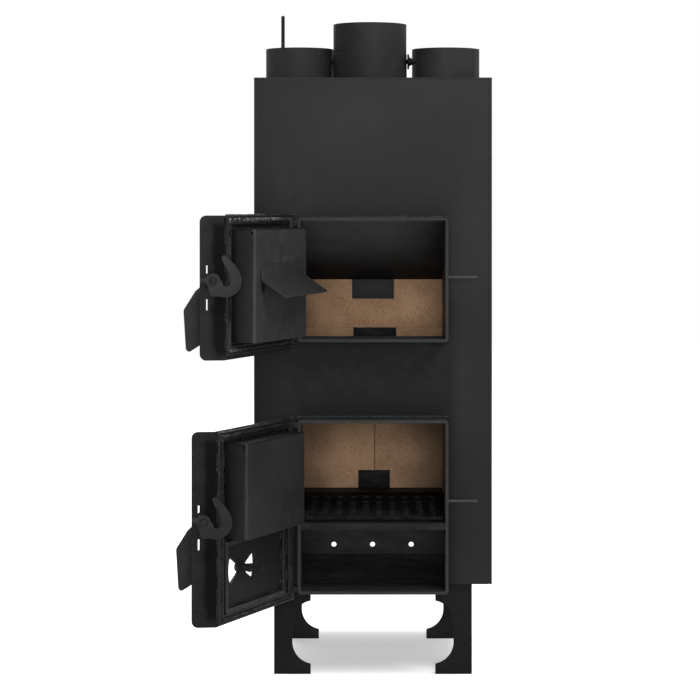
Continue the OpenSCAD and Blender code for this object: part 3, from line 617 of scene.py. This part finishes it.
# ---------------------------------------------------------------- pieces that stand for CAD nodes
BODY = {n: b for b, ns in frame["record"]["behaviour"]["bodies"].items() for n in ns}
FLAT_ANGLE, SHARP_ANGLE, SHADE_ANGLE = math.radians(0.6), math.radians(28), math.radians(40)
CURVE_ANGLE = 0.03                 # faces that meet at more than this belong to a curve
NARROW = 0.0025                    # area over perimeter of the faces that a curve is made of
MERGE = 2e-6                       # metres


def piece(name, bm, mat, body, smooth=True):
    """Object from a bmesh, riding on a body; smooth is None where each face has its own setting."""
    me = bpy.data.meshes.new(name)
    bm.to_mesh(me)
    bm.free()
    me.materials.append(mat)
    if smooth is not None:
        for f in me.polygons:
            f.use_smooth = smooth
    ob = bpy.data.objects.new(name, me)
    scene.collection.objects.link(ob)
    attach(ob, body)
    return ob


def softened(node, width, segments):
    """Copy of a CAD node with rounded edges, width in mm, which stands for that node."""
    src = nodes[node]
    bm = bmesh.new()
    bm.from_mesh(src.data)
    bmesh.ops.remove_doubles(bm, verts=bm.verts, dist=MERGE)
    bmesh.ops.dissolve_limit(bm, angle_limit=FLAT_ANGLE, verts=bm.verts, edges=bm.edges)
    sharp = [e for e in bm.edges if len(e.link_faces) == 2 and e.calc_face_angle(0) > SHARP_ANGLE]
    made = bmesh.ops.bevel(bm, geom=sharp, offset=width / 1000, segments=segments, profile=0.5,
                           affect="EDGES", clamp_overlap=True, loop_slide=True)
    round_faces = set(made["faces"])
    for f in bm.faces:
        near = [e for e in f.edges if len(e.link_faces) == 2 and not (set(e.link_faces) & round_faces)]
        curved = any(CURVE_ANGLE < e.calc_face_angle(0) < SHARP_ANGLE for e in near)
        f.smooth = f in round_faces or (curved and f.calc_area() < NARROW * f.calc_perimeter())
    ob = piece(node + "_soft", bm, src.data.materials[0], BODY[node], None)
    # the CAD mesh's own normals no longer fit the new faces
    if "custom_normal" in ob.data.attributes:
        ob.data.attributes.remove(ob.data.attributes["custom_normal"])
    ob.data.set_sharp_from_angle(angle=SHADE_ANGLE)
    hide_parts(node)
    return ob


SOFT = {
    "front_panel": 0.5, "upper_throat": 1.1, "lower_throat": 1.1, "ash_shelf": 1.0,
    "front_left_leg": 0.8, "front_right_leg": 0.8, "rear_left_leg": 0.8, "rear_right_leg": 0.8,
    "upper_door_sheet": 1.0, "lower_door_sheet": 1.0, "upper_gasket_frame": 0.8, "lower_gasket_frame": 0.8,
    "lower_window_frame": 1.0, "upper_shield_box": 2.6, "lower_shield_box": 2.6, "upper_deflector": 0.9,
    "upper_latch_hook": 1.4, "lower_latch_hook": 1.4, "upper_latch_grip": 1.2, "lower_latch_grip": 1.2,
    "grate": 2.0, "baffle": 0.9, "baffle_clip": 0.6, "board_clip": 0.6, "rear_foot_plate": 0.6,
    "left_rear_board": 0.5, "right_rear_board": 0.5, "top_rear_board": 0.4, "damper_lever": 0.6,
    "damper_nut": 0.6, "hinge_lugs": 0.5, "rosette_disc": 0.5,
}
for node, width in SOFT.items():
    softened(node, width, 3 if node in ("grate", "upper_latch_hook", "lower_latch_hook") else 2)


def sweep(bm, path, radius, sides, up, closed=False, shape=(1, 1)):
    """Tube along a list of points; radius(i, angle) gives its size, shape scales the section's two axes."""
    n = len(path)
    rings = []
    for i, c in enumerate(path):
        a = path[(i - 1) % n] if closed or i else path[0]
        b = path[(i + 1) % n] if closed or i < n - 1 else path[-1]
        t = (b - a).normalized()
        side = t.cross(up).normalized()
        top = side.cross(t).normalized()
        ring = []
        for k in range(sides):
            ang = 2 * math.pi * k / sides
            r = radius(i, ang)
            across, up_part = r * shape[0] * math.cos(ang), r * shape[1] * math.sin(ang)
            ring.append(bm.verts.new(c + side * across + top * up_part))
        rings.append(ring)
    pairs = list(zip(rings, rings[1:])) + ([(rings[-1], rings[0])] if closed else [])
    for p, q in pairs:
        for k in range(sides):
            m = (k + 1) % sides
            bm.faces.new((p[k], p[m], q[m], q[k]))
    if not closed:
        bm.faces.new(list(reversed(rings[0])))
        bm.faces.new(rings[-1])


# ---------------------------------------------------------------- braided ropes
def rope_path(z0, height):
    """Closed path in mm, on the plane of a door, round the throat whose lower edge is at z0."""
    half_x, half_z = (THROAT_W + ROPE_OUT - ROPE_W) / 2, (height + ROPE_OUT - ROPE_W) / 2
    mid_z = z0 + height / 2
    corners = [Vector((DOOR_MID + side * half_x, mid_z + level * half_z))
               for side, level in ((-1, -1), (1, -1), (1, 1), (-1, 1))]
    path = []
    for k in range(4):
        corner, following = corners[k], corners[(k + 1) % 4]
        come = (corner - corners[k - 1]).normalized()
        go = (following - corner).normalized()
        centre = corner - come * ROPE_CORNER + go * ROPE_CORNER
        for j in range(7):
            a = math.pi / 2 * j / 6
            path.append(centre - go * ROPE_CORNER * math.cos(a) + come * ROPE_CORNER * math.sin(a))
        end = following - go * ROPE_CORNER
        last = path[-1]
        m = int((end - last).length / 1.1)
        path += [last.lerp(end, i / m) for i in range(1, m)]
    return path


# 8 mm wide, the crown 1.5 mm above the bars
for door, node, body, z0, height in (("fire", "upper_gasket_rope", "fire_door", 563, 207),
                                     ("ash", "lower_gasket_rope", "ash_door", 145, 289)):
    path = rope_path(z0, height)
    lumps = [rng.uniform(0.93, 1.05) for _ in range(len(path) // 6 + 2)]

    def radius(i, ang):
        s = i * 0.55
        braid = max(math.cos(2 * ang + s), math.cos(2 * ang - s + 1.57))
        lump = lumps[i // 6] + (lumps[i // 6 + 1] - lumps[i // 6]) * (i % 6) / 6
        return 0.0037 * (0.90 + 0.10 * braid) * lump

    bm = bmesh.new()
    sweep(bm, [D(door, p.x, ROPE_Y, p.y) for p in path], radius, 20, axis(door_matrix(door), (0, 1, 0)),
          closed=True, shape=(1.06, 0.95))
    rope = piece(node + "_braid", bm, M["rope" if door == "fire" else "ash_rope"], body)
    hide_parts(node)


# ---------------------------------------------------------------- welds
def line(points, step=1.3):
    """Points in mm joined by straight runs with a point about every step mm."""
    out = []
    for a, b in zip(points, points[1:]):
        a, b = Vector(a), Vector(b)
        n = max(1, int((b - a).length / step))
        out += [a.lerp(b, i / n) for i in range(n)]
    out.append(Vector(points[-1]))
    return out


def weld(name, runs, place, body, size, mat="weld", up=(0, 0, 1)):
    """Weld beads along runs of points: overlapping scales with an uneven width, size their radius in mm."""
    bm = bmesh.new()
    for run in runs:
        path = line(run)
        if len(path) < 3:
            continue
        phase = rng.uniform(0, 6)
        uneven = [rng.uniform(0.82, 1.2) for _ in path]
        spots = [place(*(p + Vector([rng.uniform(-0.12, 0.12) for _ in range(3)]))) for p in path]

        def radius(i, ang):
            scale = 0.86 + 0.24 * abs(math.sin(i * 0.9 + phase))
            end = min(1.0, 0.35 + 0.3 * min(i, len(path) - 1 - i))
            return size / 1000 * scale * uneven[i] * end

        sweep(bm, spots, radius, 8, Vector(up))
    return piece(name, bm, M[mat], body)


def body_weld(name, runs, size, mat="weld", up=(0, 0, 1)):
    """Weld on the stove's body, its points from the middle of the front panel."""
    weld(name, runs, P, "stove", size, mat, up)


def door_weld(name, runs, door, size, mat="weld"):
    """Weld on a door, its points from the hinge."""
    weld(name, runs, on(door), door + "_door", size, mat)


def rect(x0, x1, z0, z1, y, gaps=0.0):
    """Four runs round a rectangle in a plane of constant y, each cut short at random where gaps is over 0."""
    c = [(x0, y, z0), (x1, y, z0), (x1, y, z1), (x0, y, z1), (x0, y, z0)]
    runs = []
    for a, b in zip(c, c[1:]):
        if not gaps:
            runs.append([a, b])
            continue
        a, b = Vector(a), Vector(b)
        t = rng.uniform(0.0, 0.05)
        while t < 0.97:
            e = min(1.0, t + rng.uniform(0.08, 0.2))
            runs.append([tuple(a.lerp(b, t)), tuple(a.lerp(b, e))])
            t = e + rng.uniform(0.3, 1.2) * gaps
    return runs


def circle(middle, r, z, points=90):
    """One run round a collar."""
    angles = [2 * math.pi * k / points for k in range(points + 1)]
    return [(middle[0] + r * math.cos(a), middle[1] + r * math.sin(a), z) for a in angles]


# throats on the front panel; the lower one has no room for a bead underneath
body_weld("throat_welds_upper", rect(-THROAT_BEAD, THROAT_BEAD, 562, 771, -0.6), 1.9)
body_weld("throat_welds_lower", [[(-THROAT_BEAD, -0.6, 147), (-THROAT_BEAD, -0.6, 435),
                                  (THROAT_BEAD, -0.6, 435), (THROAT_BEAD, -0.6, 147)]], 1.9)

# gasket bars, shield boxes, the flat bar round the rosette, and the heat deflector
for door in ("fire", "ash"):
    (x0, x1), (z0, z1) = BAR_X, BAR_Z[door]
    door_weld(door + "_bar_welds", rect(x0, x1, z0, z1, 2.6, 0.10), door, 1.3)
    inner = (x0 + BAR_INNER, x1 - BAR_INNER, z0 + BAR_INNER, z1 - BAR_INNER)
    door_weld(door + "_inner_bar_welds", rect(*inner, 2.4, 0.16), door, 1.1)
for door in ("fire", "ash"):
    door_weld(door + "_box_welds", rect(*BOX_FOOT[door], 2.4, 0.12), door, 1.3)
door_weld("window_welds", rect(*WINDOW_OUTER, 2.6, 0.05) + rect(*WINDOW_INNER, 2.4, 0.15), "ash", 1.4)
door_weld("deflector_welds", [[(49.8, 43.4, 679), (49.8, 43.4, 698)], [(222.2, 43.4, 677), (222.2, 43.4, 695)],
                              [(112, 43.2, 698.8), (136, 43.2, 698.2)]], "fire", 1.2)
door_weld("deflector_spatter", [[(119, 43, 699), (120, 43, 708)], [(124.5, 43, 699), (125, 43, 710)],
                                [(130, 43, 699), (131, 43, 707)]], "fire", 1.1, "bright_weld")

# collars on the top plate, and their upright seams
for name, middle, r, mat in (("flue", FLUE, 65.6, "bright_weld"), ("left_collar", LEFT_COLLAR, 60.6, "top"),
                             ("right_collar", RIGHT_COLLAR, 60.6, "top")):
    body_weld(name + "_weld", [circle(middle, r, COLLAR_FOOT)], 1.8, mat)
for name, middle, r, z0, z1, turn in (("left_seam", LEFT_COLLAR, 60.2, 1006, 1067, -19.4),
                                      ("right_seam", RIGHT_COLLAR, 60.2, 1006, 1067, -37),
                                      ("flue_seam", FLUE, 64.6, 1057, 1108, 205)):
    a = math.radians(turn)
    x, y = middle[0] + r * math.cos(a), middle[1] + r * math.sin(a)
    body_weld(name, [[(x, y, z0), (x, y, z1)]], 0.9, "top", (0, 1, 0))

# legs, and paint that has run into the seams between the front panel and the folded edges
SIDES = (("left", -1), ("right", 1))
for side, s in SIDES:
    body_weld("leg_weld_" + side, [[(s * 126.2, 9.4, 146), (s * 126.2, 9.4, 169)]], 1.3)
for side, s in SIDES:
    body_weld("seam_paint_" + side, [[(s * 194.75, 1.25, 154), (s * 194.75, 1.25, 1001)]], 0.62, "shaft",
              (0, 1, 0))

# bright weld metal along the upper edge of the gasket bars
door_weld("fire_top_weld", [[(112, 3.0, 774.6), (188, 3.0, 774.6)], [(192, 3.0, 774.6), (264, 3.0, 774.6)]], "fire",
          1.7, "bright_weld")
door_weld("ash_top_weld", [[(205, 3.0, 438.6), (264, 3.0, 438.6)]], "ash", 1.5, "bright_weld")

# thread cut on the upper part of the valve rod
bm = bmesh.new()
path = []
for k in range(THREAD_STEPS * THREAD_TURNS):
    a = 2 * math.pi * k / THREAD_STEPS
    z = THREAD_Z + THREAD_PITCH * k / THREAD_STEPS
    path.append(P(ROD[0] + ROD_R * math.cos(a), ROD[1] + ROD_R * math.sin(a), z))
sweep(bm, path, lambda i, ang: 0.00042, 6, Vector((0, 0, 1)))
piece("rod_thread", bm, M["rod"], "air_valve")


# ---------------------------------------------------------------- floor
def stage_disc():
    """Round flat floor, wide enough for a camera on any side."""
    bm = bmesh.new()
    bmesh.ops.create_circle(bm, cap_ends=True, radius=9, segments=96)
    bmesh.ops.translate(bm, vec=(OX, OY + 0.245, 0), verts=bm.verts)
    me = bpy.data.meshes.new("floor")
    bm.to_mesh(me)
    bm.free()
    ob = bpy.data.objects.new("floor", me)
    scene.collection.objects.link(ob)
    return ob


def seen_ray(tree):
    """1 for camera, glossy and transmission rays."""
    path = tree.nodes.new("ShaderNodeLightPath")
    ray = path.outputs["Is Camera Ray"]
    for kind in ("Is Glossy Ray", "Is Transmission Ray"):
        n = tree.nodes.new("ShaderNodeMath")
        n.operation = "MAXIMUM"
        tree.links.new(ray, n.inputs[0])
        tree.links.new(path.outputs[kind], n.inputs[1])
        ray = n.outputs[0]
    return ray


# the floor shows white; its glow drops in a soft box under the stove, a painted shadow in which the stove's own
# shadow also shows
floor = stage_disc()
ft = Tree("floor_white")
under_x = ft.ramp(ft.abs(ft.x()), 0.135, 0.175, 1.0, 0.0)
depth = ft.y()
under_y = ft.mul(ft.ramp(depth, -0.06, 0.045), ft.ramp(depth, 0.45, 0.36))
# painted shadow: less glow under the stove
glow = ft.ramp(ft.mul(under_x, under_y), 0, 1, 0.84, 0.40, False)
ft.set(Base_Color=(0.93, 0.93, 0.93), Roughness=0.9, Specular_IOR_Level=0.0, Emission_Color=(1, 1, 1),
       Emission_Strength=ft.mul(seen_ray(ft.t), glow))
floor.data.materials.append(ft.mat)

# ---------------------------------------------------------------- light and camera
# the world shows white, and lights the stove at the lower level
world = bpy.data.worlds.new("studio")
scene.world = world
world.use_nodes = True
wt = world.node_tree
bg = wt.nodes["Background"]
bg.inputs[0].default_value = (1, 1, 1, 1)
level = wt.nodes.new("ShaderNodeMapRange")
wt.links.new(seen_ray(wt), level.inputs["Value"])
level.inputs["To Min"].default_value = 0.22
level.inputs["To Max"].default_value = 1.0
wt.links.new(level.outputs[0], bg.inputs[1])


def area(name, loc, target, size, power):
    """Square lamp aimed at a point; size in metres, power in watts."""
    ld = bpy.data.lights.new(name, "AREA")
    ld.energy = power
    ld.size = size
    ob = bpy.data.objects.new(name, ld)
    ob.location = loc
    ob.rotation_euler = (Vector(target) - Vector(loc)).to_track_quat("-Z", "Y").to_euler()
    scene.collection.objects.link(ob)


# the lamp behind stands high, so that the collars get no bright rims
area("key", (1.3, -2.2, 3.1), (0.05, -0.1, 0.6), 1.5, 78)
area("front", (0.1, -5.6, 1.0), (0.05, 0, 0.6), 1.4, 155)
area("back", (-1.1, 3.0, 3.3), (0.05, 0.3, 0.6), 2.0, 100)

# level and straight on, as in the photograph; the shift puts the stove where the photograph has it
cam_data = bpy.data.cameras.new("camera")
cam = bpy.data.objects.new("camera", cam_data)
scene.collection.objects.link(cam)
cam.location = P(-8.4, -3782, 790.6)
cam.rotation_euler = (math.radians(90), 0, 0)
cam_data.sensor_width = 36
cam_data.lens = 115.714
cam_data.shift_x = -0.0257
cam_data.shift_y = -0.2071
scene.camera = cam
scene.view_settings.view_transform = "Standard"
